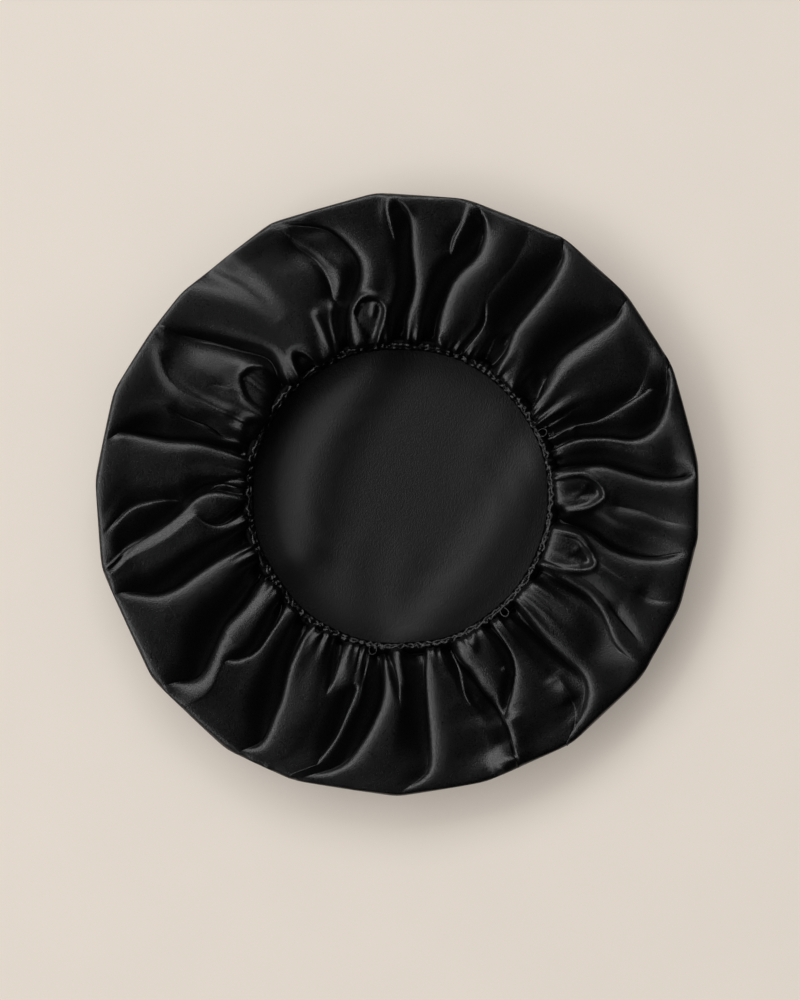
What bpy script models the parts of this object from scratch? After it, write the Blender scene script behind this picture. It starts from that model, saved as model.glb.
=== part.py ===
"""Satin sleep bonnet, lying crown down with its elastic opening facing up.

One round disc of satin is the whole shell: its middle lies flat as the crown, it turns over at a softly
cornered rim, and from there it is gathered in, in radial folds, to the hem. The hem is a narrow casing,
turned under and ruched, with the elastic inside it.

Units are metres and +Z is up. The origin is the middle of the crown's resting face.
"""

from collections import namedtuple
from math import atan2, cos, pi, radians, sin, tau

import bmesh
import bpy
from mathutils import Vector

MM = 0.001

# Driving dimensions
RIM_RADIUS = 160.0 * MM
RIM_HEIGHT = 11.0 * MM
CROWN_RADIUS = 112.0 * MM
PUFF_RADIUS = 118.0 * MM
PUFF_HEIGHT = 24.0 * MM
HEM_RADIUS = 83.7 * MM
HEM_HEIGHT = 18.5 * MM
OPENING_SHIFT = Vector((1.3 * MM, -0.8 * MM, 0.0))
SATIN_THICKNESS = 1.0 * MM
GAP = 0.3 * MM

# The last stretch of the shell, from the top of the puff to the hem, is this much of an ellipse's quarter.
HEM_ARC = radians(60)

# The outline seen from above: a polygon with soft corners. Between two corners the edge is partly straight.
RimCorner = namedtuple("RimCorner", "deg radius_mm")
RIM_CORNERS = (
    RimCorner(6, 160.3),
    RimCorner(25, 160.8),
    RimCorner(41, 161.2),
    RimCorner(57, 162.2),
    RimCorner(77, 160.8),
    RimCorner(94, 160.3),
    RimCorner(115, 158.8),
    RimCorner(137, 156.6),
    RimCorner(147, 156.6),
    RimCorner(160, 160.0),
    RimCorner(177, 160.3),
    RimCorner(194, 161.6),
    RimCorner(217, 162.6),
    RimCorner(236, 162.8),
    RimCorner(250, 161.2),
    RimCorner(270, 160.0),
    RimCorner(287, 159.2),
    RimCorner(305, 161.0),
    RimCorner(323, 161.6),
    RimCorner(338, 161.2),
    RimCorner(352, 161.0),
)
CHORD_SHARE = 0.8

# Each fold's crest runs from the rim over the top of the puff to the hem, through these three directions.
# It stands rise_mm above the plain puff, and the valley after it, counter-clockwise, lies dip_mm below.
Fold = namedtuple("Fold", "rim_deg puff_deg hem_deg rise_mm dip_mm")
FOLDS = (
    Fold(6.0, 6.5, 7.5, 2.0, 5.0),
    Fold(24.0, 14.5, 15.5, 4.5, 7.0),
    Fold(33.5, 31.5, 32.0, 1.5, 2.0),
    Fold(41.0, 39.8, 41.5, 3.5, 7.5),
    Fold(57.0, 54.2, 54.5, 4.5, 7.0),
    Fold(68.0, 65.0, 65.5, 1.5, 4.0),
    Fold(78.0, 74.8, 76.5, 4.0, 6.5),
    Fold(93.0, 85.8, 87.0, 4.5, 6.5),
    Fold(112.0, 100.0, 104.0, 4.0, 7.0),
    Fold(129.0, 124.5, 122.0, 4.5, 3.5),
    Fold(141.0, 134.5, 132.5, 3.5, 3.0),
    Fold(149.0, 143.0, 142.0, 1.5, 4.0),
    Fold(157.0, 154.0, 155.0, 3.5, 5.5),
    Fold(173.0, 166.5, 167.5, 3.5, 4.0),
    Fold(182.0, 176.5, 174.5, 1.5, 3.0),
    Fold(191.0, 185.5, 182.5, 4.0, 6.5),
    Fold(200.0, 202.3, 200.0, 4.0, 6.5),
    Fold(217.0, 217.5, 212.5, 4.5, 3.0),
    Fold(226.0, 227.0, 224.0, 3.0, 5.5),
    Fold(236.0, 238.5, 236.0, 4.0, 3.0),
    Fold(244.0, 248.0, 249.0, 2.5, 6.5),
    Fold(253.0, 264.0, 263.5, 4.0, 5.5),
    Fold(271.0, 277.6, 279.0, 4.0, 5.0),
    Fold(288.0, 292.5, 290.5, 4.0, 3.5),
    Fold(297.0, 302.5, 304.0, 3.0, 5.5),
    Fold(307.0, 315.5, 317.0, 4.5, 6.0),
    Fold(324.0, 330.5, 327.5, 3.5, 5.0),
    Fold(338.0, 343.0, 341.0, 3.0, 7.0),
    Fold(353.0, 358.0, 358.5, 4.0, 2.5),
)
COLUMNS_PER_FOLD = 4
COLUMNS = COLUMNS_PER_FOLD * len(FOLDS)

# A station counts along the shell's profile: 0 the crown's edge, 1 the rim, 2 the top of the puff, 3 the hem.
RIM, PUFF, HEM = 1.0, 2.0, 3.0
STATIONS = (0, 0.3, 0.55, 0.78, 1, 1.2, 1.42, 1.65, 1.85, 2, 2.17, 2.34, 2.5, 2.64, 2.77, 2.88, 3)
RELIEF_STARTS = 0.75
RELIEF_FULL = 1.95
RELIEF_FADES = 2.55

# The casing: top leg level with the hem, a fold at the opening, and a leg turned under the shell.
CASING_HEIGHT = 3.6 * MM
CASING_INNER_RADIUS = 78.0 * MM
CASING_TURN_UNDER = 3.4 * MM
CASING_TURN_POINTS = 4
RUCHE_DEPTH = 0.5 * MM

# The elastic inside it
ELASTIC_WIDTH = 3.0 * MM
ELASTIC_THICKNESS = 0.8 * MM
ELASTIC_CENTRE_RADIUS = 81.9 * MM
ELASTIC_STEPS = COLUMNS // 2

SATIN_COLOUR = (0.012, 0.012, 0.013)
ELASTIC_COLOUR = (0.02, 0.02, 0.021)


def smoothstep(low, high, value):
    """0 below low, 1 above high, and an S-curve between them."""
    share = min(max((value - low) / (high - low), 0.0), 1.0)
    return share * share * (3.0 - 2.0 * share)


def mix(first, second, share):
    return first + (second - first) * share


def plain_profile(station):
    """The ungathered shell's radius and height at a station: three pieces of ellipses."""
    if station <= RIM:
        turn = station * pi / 2
        return mix(CROWN_RADIUS, RIM_RADIUS, sin(turn)), RIM_HEIGHT * (1 - cos(turn))
    if station <= PUFF:
        turn = (station - RIM) * pi / 2
        return mix(PUFF_RADIUS, RIM_RADIUS, cos(turn)), mix(RIM_HEIGHT, PUFF_HEIGHT, sin(turn))
    turn = (station - PUFF) * HEM_ARC
    inward = sin(turn) / sin(HEM_ARC)
    down = (1 - cos(turn)) / (1 - cos(HEM_ARC))
    return mix(PUFF_RADIUS, HEM_RADIUS, inward), mix(PUFF_HEIGHT, HEM_HEIGHT, down)


def profile_normal(station):
    """The profile's outward direction, as radial and upward parts."""
    step = 0.01
    before = Vector(plain_profile(max(station - step, 0.0)))
    after = Vector(plain_profile(min(station + step, HEM)))
    along = (after - before).normalized()
    return along.y, -along.x


def rim_radius(deg):
    """The outline's radius in a direction, between a circle's arc and the chord from corner to corner."""
    corners = [(corner.deg, corner.radius_mm * MM) for corner in RIM_CORNERS]
    corners.append((corners[0][0] + 360, corners[0][1]))
    deg = (deg - corners[0][0]) % 360 + corners[0][0]
    for (start, start_radius), (end, end_radius) in zip(corners, corners[1:]):
        if deg <= end:
            break
    span = radians(end - start)
    past = radians(deg - start)
    chord = start_radius * end_radius * sin(span)
    chord /= start_radius * sin(past) + end_radius * sin(span - past)
    arc = mix(start_radius, end_radius, past / span)
    return mix(arc, chord, CHORD_SHARE)


def fold_direction(fold, station):
    """The direction of a fold's crest at a station, in degrees."""
    if station <= PUFF:
        return mix(fold.rim_deg, fold.puff_deg, smoothstep(RIM, PUFF, station))
    return mix(fold.puff_deg, fold.hem_deg, smoothstep(PUFF, HEM, station))


def column_direction(column, station):
    """The direction of a column of the shell, which runs at an even share of the way between two crests."""
    index, step = divmod(column, COLUMNS_PER_FOLD)
    this_crest = fold_direction(FOLDS[index], station)
    next_crest = fold_direction(FOLDS[(index + 1) % len(FOLDS)], station)
    if index + 1 == len(FOLDS):
        next_crest += 360
    return mix(this_crest, next_crest, step / COLUMNS_PER_FOLD)


def column_relief(column):
    """How far a column stands above (or below) the plain puff where the folds are at their fullest."""
    index, step = divmod(column, COLUMNS_PER_FOLD)
    fold = FOLDS[index]
    next_fold = FOLDS[(index + 1) % len(FOLDS)]
    crest = fold.rise_mm if step < COLUMNS_PER_FOLD / 2 else next_fold.rise_mm
    wave = (1 + cos(tau * step / COLUMNS_PER_FOLD)) / 2
    return mix(-fold.dip_mm, crest, wave) * MM


def relief_share(station):
    """The folds grow from nothing below the rim and are drawn flat again at the hem."""
    return smoothstep(RELIEF_STARTS, RELIEF_FULL, station) * (1 - smoothstep(RELIEF_FADES, HEM, station))


def shell_point(column, station):
    """A point of the shell's outer face."""
    deg = column_direction(column, station)
    radius, height = plain_profile(station)
    outline = rim_radius(deg) / RIM_RADIUS
    near_rim = smoothstep(0.0, RIM, station) * (1 - smoothstep(RIM, PUFF, station))
    radius *= mix(1.0, outline, near_rim)
    out, up = profile_normal(station)
    relief = column_relief(column) * relief_share(station)
    radius += out * relief
    height += up * relief
    turn = radians(deg)
    shift = OPENING_SHIFT * smoothstep(RIM, HEM, station)
    return Vector((radius * cos(turn), radius * sin(turn), height)) + shift


def spun(profile, steps, closed=False):
    """A profile of (radius, height) points turned round the Z axis, each vertex marked with its point's number."""
    bm = bmesh.new()
    number = bm.verts.layers.int.new("profile_point")
    verts = []
    for index, (radius, height) in enumerate(profile):
        vert = bm.verts.new((radius, 0.0, height))
        vert[number] = index
        verts.append(vert)
    edges = [bm.edges.new(pair) for pair in zip(verts, verts[1:])]
    if closed:
        edges.append(bm.edges.new((verts[-1], verts[0])))
    bmesh.ops.spin(bm, geom=verts + edges, axis=(0, 0, 1), cent=(0, 0, 0), angle=tau, steps=steps, use_merge=True)
    return bm, number


def column_of(vert, steps):
    """The number of the column that a spun vertex lies in."""
    return round(atan2(vert.co.y, vert.co.x) / tau * steps) % steps


def face_outward(bm, sample_face, outward):
    """Turns every face the same way, so that the sample face's normal points outward."""
    bmesh.ops.recalc_face_normals(bm, faces=bm.faces)
    if sample_face.normal.dot(outward) < 0:
        bmesh.ops.reverse_faces(bm, faces=bm.faces)


def add_object(name, bm, material, collection):
    mesh = bpy.data.meshes.new(name)
    bm.to_mesh(mesh)
    bm.free()
    mesh.materials.append(material)
    mesh.shade_smooth()
    obj = bpy.data.objects.new(name, mesh)
    collection.objects.link(obj)
    return obj


def add_wall(obj, thickness, offset):
    solidify = obj.modifiers.new("wall", "SOLIDIFY")
    solidify.thickness = thickness
    solidify.offset = offset


def principled(name, colour, roughness, sheen=0.0):
    material = bpy.data.materials.new(name)
    material.use_nodes = True
    shader = material.node_tree.nodes["Principled BSDF"]
    shader.inputs["Base Color"].default_value = (*colour, 1.0)
    shader.inputs["Roughness"].default_value = roughness
    shader.inputs["Metallic"].default_value = 0.0
    shader.inputs["Sheen Weight"].default_value = sheen
    return material


def make_satin_shell(collection):
    """The disc of satin: a turned profile, filled across the crown, then drawn into its folds."""
    bm, number = spun([plain_profile(station) for station in STATIONS], COLUMNS)
    crown_edge = [edge for edge in bm.edges if all(vert[number] == 0 for vert in edge.verts)]
    crown = bmesh.ops.contextual_create(bm, geom=crown_edge)["faces"][0]
    face_outward(bm, crown, Vector((0, 0, -1)))
    for vert in bm.verts:
        vert.co = shell_point(column_of(vert, COLUMNS), STATIONS[vert[number]])
    satin = principled("satin", SATIN_COLOUR, roughness=0.35, sheen=0.1)
    shell = add_object("satin_shell", bm, satin, collection)
    add_wall(shell, SATIN_THICKNESS, offset=-1)
    return shell


def casing_profile():
    """The middle of the casing's wall: top leg, turned edge at the opening, and the leg under the shell."""
    top = HEM_HEIGHT - SATIN_THICKNESS / 2
    turn_radius = (CASING_HEIGHT - SATIN_THICKNESS) / 2
    turn_centre = CASING_INNER_RADIUS + SATIN_THICKNESS / 2 + turn_radius
    points = [(HEM_RADIUS - GAP, top)]
    for index in range(CASING_TURN_POINTS):
        turn = pi / 2 + pi * index / (CASING_TURN_POINTS - 1)
        points.append((turn_centre + turn_radius * cos(turn), top - turn_radius + turn_radius * sin(turn)))
    points.append((HEM_RADIUS, top - 2 * turn_radius))
    points.append((HEM_RADIUS + CASING_TURN_UNDER, top - 2 * turn_radius))
    return points


def make_elastic_casing(collection):
    """The turned hem, its opening edge ruched: every second column stands a little further in."""
    profile = casing_profile()
    bm, number = spun(profile, COLUMNS)
    top_leg = next(face for face in bm.faces if all(vert[number] <= 1 for vert in face.verts))
    face_outward(bm, top_leg, Vector((0, 0, 1)))
    outer_radius = profile[0][0]
    for vert in bm.verts:
        column = column_of(vert, COLUMNS)
        radius, _ = profile[vert[number]]
        towards_edge = min(max((outer_radius - radius) / (outer_radius - CASING_INNER_RADIUS), 0.0), 1.0)
        ruche = RUCHE_DEPTH * towards_edge * (1 if column % 2 else -1)
        turn = radians(column_direction(column, HEM))
        vert.co = Vector(((radius + ruche) * cos(turn), (radius + ruche) * sin(turn), vert.co.z)) + OPENING_SHIFT
    satin = principled("casing_satin", SATIN_COLOUR, roughness=0.45, sheen=0.1)
    casing = add_object("elastic_casing", bm, satin, collection)
    add_wall(casing, SATIN_THICKNESS, offset=0)
    return casing


def make_elastic(collection):
    """A flat band in the middle of the casing's hollow."""
    centre_height = HEM_HEIGHT - CASING_HEIGHT / 2
    half_width = ELASTIC_WIDTH / 2
    half_thickness = ELASTIC_THICKNESS / 2
    inner = ELASTIC_CENTRE_RADIUS - half_width
    outer = ELASTIC_CENTRE_RADIUS + half_width
    profile = [
        (inner, centre_height - half_thickness),
        (outer, centre_height - half_thickness),
        (outer, centre_height + half_thickness),
        (inner, centre_height + half_thickness),
    ]
    bm, _ = spun(profile, ELASTIC_STEPS, closed=True)
    bmesh.ops.recalc_face_normals(bm, faces=bm.faces)
    bmesh.ops.translate(bm, verts=bm.verts, vec=OPENING_SHIFT)
    rubber = principled("elastic_rubber", ELASTIC_COLOUR, roughness=0.8)
    return add_object("elastic", bm, rubber, collection)


def main():
    for obj in list(bpy.data.objects):
        bpy.data.objects.remove(obj, do_unlink=True)
    bonnet = bpy.data.collections.new("sleep_bonnet")
    bpy.context.scene.collection.children.link(bonnet)
    make_satin_shell(bonnet)
    make_elastic_casing(bonnet)
    make_elastic(bonnet)


main()
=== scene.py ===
"""Looks of the black satin sleep bonnet: the gathered shell, its ruched casing, the elastic and the studio.

It lies crown down with its opening up, and the camera looks straight down on it. Lengths in the tables are
millimetres and directions are degrees, counter-clockwise from +X as seen from above.
"""

from collections import namedtuple
from math import cos, pi, radians, sin, tau

import bpy
import numpy as np
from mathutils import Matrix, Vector

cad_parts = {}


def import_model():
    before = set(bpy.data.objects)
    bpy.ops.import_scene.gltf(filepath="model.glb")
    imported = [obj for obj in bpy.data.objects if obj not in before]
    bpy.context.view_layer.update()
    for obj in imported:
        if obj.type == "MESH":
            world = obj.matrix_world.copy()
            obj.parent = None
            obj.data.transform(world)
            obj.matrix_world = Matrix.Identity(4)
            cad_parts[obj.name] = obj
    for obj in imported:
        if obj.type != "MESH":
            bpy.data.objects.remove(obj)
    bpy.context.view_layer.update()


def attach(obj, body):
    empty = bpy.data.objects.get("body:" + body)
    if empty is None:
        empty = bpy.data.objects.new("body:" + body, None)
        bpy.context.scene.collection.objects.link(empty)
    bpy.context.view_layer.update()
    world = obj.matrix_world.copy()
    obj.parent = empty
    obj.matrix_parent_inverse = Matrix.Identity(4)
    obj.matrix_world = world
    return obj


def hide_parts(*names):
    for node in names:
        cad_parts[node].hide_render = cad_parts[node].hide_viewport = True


MM = 0.001

# The plain shell, before it is gathered. Stations are places along its cloth: 0 at the crown's edge, RIM
# where it is widest, PUFF on top of the gathers, HEM at the opening. A lower roundness makes a squarer rim
RIM, PUFF, HEM = 1.0, 2.0, 3.0
CROWN_RADIUS = 112.0
RIM_RADIUS = 160.0
RIM_HEIGHT = 19.0
RIM_ROUNDNESS = 0.21
PUFF_RADIUS = 117.0
PUFF_HEIGHT = 23.6
HEM_RADIUS = 84.2
HEM_HEIGHT = 17.0
HEM_ARC = radians(74)
HEM_SQUARENESS = 12
OPENING_SHIFT = (1.3, -0.8)
CLOTH_THICKNESS = 0.8

# The outline from above: a polygon with soft corners, as (direction, radius). Its sides lie CHORD_SHARE of
# the way from an arc to the chord
RIM_CORNERS = (
    (6, 160.3), (25, 160.8), (41, 161.2), (57, 162.2), (77, 160.8), (94, 160.3), (115, 158.8),
    (137, 156.6), (147, 156.6), (160, 160.0), (177, 160.3), (194, 161.6), (217, 162.6), (236, 162.8),
    (250, 161.2), (270, 160.0), (287, 159.2), (305, 161.0), (323, 161.6), (338, 161.2), (352, 161.0),
)
CHORD_SHARE = 0.9
CORNER_SOFTNESS = 1.3

# Where two folds meet, the cloth turns in a crease with a lit lip beside it. path is the lip's (radius,
# direction) from the rim inwards. main creases run to the hem or near it, and short ones are placed between
# them. light is the side of the lip that the crease lies on: 1 counter-clockwise, -1 clockwise. lit and
# dark are how far its slopes reach on the lip's side and on the other, and opening how far in from the rim
# it has its whole depth. wall is the share of the depth in the steep side below the lip, edge wide
Crease = namedtuple("Crease", "name main light depth edge lit dark opening path wall", defaults=(0.78,))
CREASES = [Crease(*row) for row in (
    ("E", True, 1, 8.7, 8, 12.4, 22, 32, ((159, 40.3), (149, 38.7), (136, 39), (120, 39.8), (112, 40),
        (105, 39), (96, 37), (82, 31))),
    ("E_hem", False, 1, 3, 3, 8, 5, 20, ((99, 26), (92, 25.4), (84, 25))),
    ("F", True, 1, 7.2, 8, 12.4, 14, 12, ((158, 25.5), (155, 22), (149, 18), (143, 15), (136, 13.5),
        (128, 13), (114, 15.5), (106, 16.5), (101, 17.5), (95, 17.5), (82, 15.5))),
    ("F_side", False, 1, 4.3, 4.5, 8, 14, 20, ((148, 23.5), (125, 21.5), (112, 20.5), (100, 22), (84, 21))),
    ("G", True, 1, 8, 9, 13, 13, 14, ((157, 4), (149, 3), (136, 3.3), (125, 5), (117, 6.5), (108, 8.5),
        (84, 9))),
    ("G_side", False, 1, 1.5, 9, 14, 12, 20, ((156, 354), (141, 355.5), (130, 357), (114, 358))),
    ("Y", True, 1, 9, 8, 12, 14, 34, ((156, 348.5), (141, 346), (126, 345), (116, 345.5), (100, 349),
        (84, 350))),
    ("Y_rim", False, 1, 1.5, 7.5, 11.6, 11, 20, ((158, 339.5), (150, 338), (138, 338))),
    ("I", True, -1, 9, 5.5, 9, 20, 56, ((156, 324.8), (145, 325), (138, 325.5), (133, 327), (128, 329),
        (122, 330.5), (112, 332.3), (104, 332.5), (84, 333))),
    ("I_side", False, 1, 1.6, 4.5, 8, 8, 20, ((154, 328), (143, 329.5), (133, 331), (128, 332))),
    ("J", True, -1, 11.5, 7, 11, 22, 40, ((158, 304), (155, 307), (152.6, 310), (147, 313), (142, 315),
        (133, 316), (117, 315.5), (106, 315.5), (96, 316), (83, 316.8))),
    ("J_side", False, -1, 1.6, 6, 9.3, 7, 20, ((156, 306), (150, 308.5), (143, 309.5), (133, 310.5),
        (126, 310))),
    ("J_hem", False, -1, 2, 3, 8, 4, 20, ((95, 312), (84, 312))),
    ("K", True, -1, 8, 6, 9.5, 13, 12, ((151, 294), (143, 295), (133, 295.5), (125, 295), (117, 294),
        (109, 293), (101, 292.8), (96, 291), (89, 289.8), (82, 289))),
    ("K_inner", False, -1, 5.8, 3.8, 8, 11, 12, ((129, 295.5), (122, 299), (116, 302), (110, 304),
        (104, 305.3), (95, 305.7), (83, 305))),
    ("K_outer", False, -1, 2.5, 3, 8, 5, 20, ((123, 289.5), (110, 288), (99, 288.8), (95, 288.3),
        (83, 287.5))),
    ("L", True, -1, 9.4, 6.5, 10.1, 18, 32, ((157, 270), (154, 273.5), (151, 275.6), (146, 276.7),
        (138, 277.2), (122, 277.7), (106, 278), (88, 279), (81, 279.8))),
    ("L_base", False, -1, 3.6, 6, 9.3, 5, 20, ((112, 270.5), (97, 269.5), (85, 266))),
    ("M", True, -1, 8.7, 6.5, 10.1, 16, 32, ((158, 250.8), (156, 252.5), (153, 255), (148, 258),
        (142, 259.8), (136, 261), (129, 262.5), (121, 263.8), (114, 265), (104, 265.5), (93, 264.5),
        (83, 263.5))),
    ("M_side", False, -1, 4.3, 5.2, 8.1, 11, 20, ((149, 253), (141, 254), (133, 255.5), (120, 256.5),
        (106, 257.5))),
    ("M_hem", False, -1, 2.5, 3, 8, 4, 20, ((101, 259), (87, 259))),
    ("N", True, -1, 9.4, 9, 14, 18, 32, ((160, 238), (157, 240), (151, 241.5), (143, 241.5), (136, 241),
        (125, 240.5), (116, 239), (110, 238), (104, 237), (96, 236.5), (88, 235.5), (80, 236))),
    ("N_hem", False, -1, 5.8, 4.5, 8, 8, 20, ((112, 250), (101, 250.5), (93, 250), (84, 249), (81, 247.5))),
    ("O", True, -1, 10.2, 9, 14, 22, 32, ((159, 219.5), (153, 221), (146, 222.8), (139, 222.8), (133, 221.5),
        (125, 220), (118, 218), (112, 217), (104, 216.5), (97, 215.3), (91, 214), (88, 212), (83, 211))),
    ("O_inner", False, -1, 7, 5.5, 8.5, 10, 20, ((127, 223.5), (118, 227), (109, 228), (101, 227), (90, 226),
        (87, 224), (83, 222.5))),
    ("O_hem", False, -1, 2, 3, 8, 4, 20, ((93, 209.5), (83, 208))),
    ("P", True, -1, 10.2, 8, 12.4, 14, 32, ((158, 199.5), (147, 201), (141, 202.5), (133, 203.2), (125, 203),
        (118, 202), (110, 201), (104, 200), (99, 199.5), (84, 197.5))),
    ("Q", True, -1, 6.5, 8, 12.4, 14, 32, ((158, 194.5), (154, 194), (149, 192), (143, 190.8), (137, 189.8),
        (130, 188.8), (125, 187.5), (118, 186), (114, 184), (110, 182), (106, 180), (101, 178.8),
        (96, 178.5), (87, 180))),
    ("Q_side", False, -1, 3.6, 6.8, 10.5, 11, 20, ((157, 188), (149, 185), (141, 182), (128, 181),
        (115, 180.8))),
    ("Q_hem", False, -1, 5.5, 4.5, 8, 9, 20, ((108, 185), (104, 188), (99, 189.5), (95, 189.8), (90, 188.5),
        (86, 186), (82, 185.3))),
    ("R", False, -1, 2.5, 3, 8, 5, 20, ((106, 178), (98, 176.5), (93, 175.2), (88, 174.2), (83, 174.5))),
    ("S", True, -1, 9.5, 8, 12.4, 17, 30, ((157, 170), (149, 167.3), (125, 167), (116, 166), (109, 165.5),
        (101, 165.7), (84, 166.5))),
    ("S_inner", False, -1, 4.3, 3.8, 8, 9, 25, ((131, 158.8), (125, 160), (104, 160), (100, 162), (90, 161),
        (84, 161.8))),
    ("T", True, 1, 1, 6, 8, 30, 22, ((154, 146.5), (149, 148), (143, 150), (141, 151.5), (133, 153.5),
        (117, 154.5), (105, 155), (95, 155)), 0.3),
    ("T_inner", False, -1, 1.5, 4.5, 8, 7, 20, ((117, 150), (110, 148))),
    ("U", True, 1, 6, 8, 12, 14, 24, ((151, 144), (141, 141.5), (133, 139.5), (127, 138), (116, 135.5),
        (106, 132.5), (98, 131), (91, 133), (84, 135)), 0.4),
    ("W", True, 1, 6.5, 8.5, 14, 9, 30, ((157, 114), (153, 111), (150, 107), (146, 104.5), (138, 102),
        (130, 100), (125, 99.2), (118, 99.6), (111, 101.4), (105, 104), (98, 106.3), (90, 107),
        (82, 109.3)), 0.7),
    ("W_side", False, 1, 4.2, 13, 16, 13, 25, ((154, 114), (148, 112.5), (141, 111), (136, 108.7),
        (128, 107.2), (118, 106.3), (108, 107)), 0.45),
    ("A", True, 1, 8.7, 5.5, 8.5, 14, 32, ((158, 91), (151, 88), (143, 87.3), (130, 86.8), (120, 86),
        (113, 85.5), (105, 86), (96, 87.5), (81, 88.6))),
    ("A_side", False, 1, 1.5, 3.8, 8, 5, 20, ((158, 92), (151, 92.5), (143, 92), (134, 91))),
    ("B", True, 1, 8.7, 8, 12.4, 11, 32, ((160, 75), (157, 73), (149, 71.8), (139, 71.3), (133, 71.5),
        (126, 73.5), (119, 75.3), (109, 76.5), (101, 77), (93, 77.3), (82, 77))),
    ("B_side", False, 1, 2, 6, 9.3, 7, 20, ((159, 76.7), (151, 76.8), (143, 77.5), (139, 78.5),
        (130, 77.8))),
    ("C", False, 1, 3, 3.3, 8, 5, 20, ((112, 66), (109, 65), (102, 63.5), (98, 63.5), (93, 64.5), (88, 66),
        (83, 66.8))),
    ("D", True, 1, 9.4, 8, 12.4, 22, 32, ((161, 57), (157, 55.2), (146, 54.5), (136, 54), (125, 54.3),
        (114, 54.7), (106, 55.2), (100, 53.6), (95, 53), (84, 53.6))),
    ("D_hem", False, 1, 2.5, 3, 8, 5, 20, ((105, 57.6), (101, 59), (93, 59), (84, 58))),
)]

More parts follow.
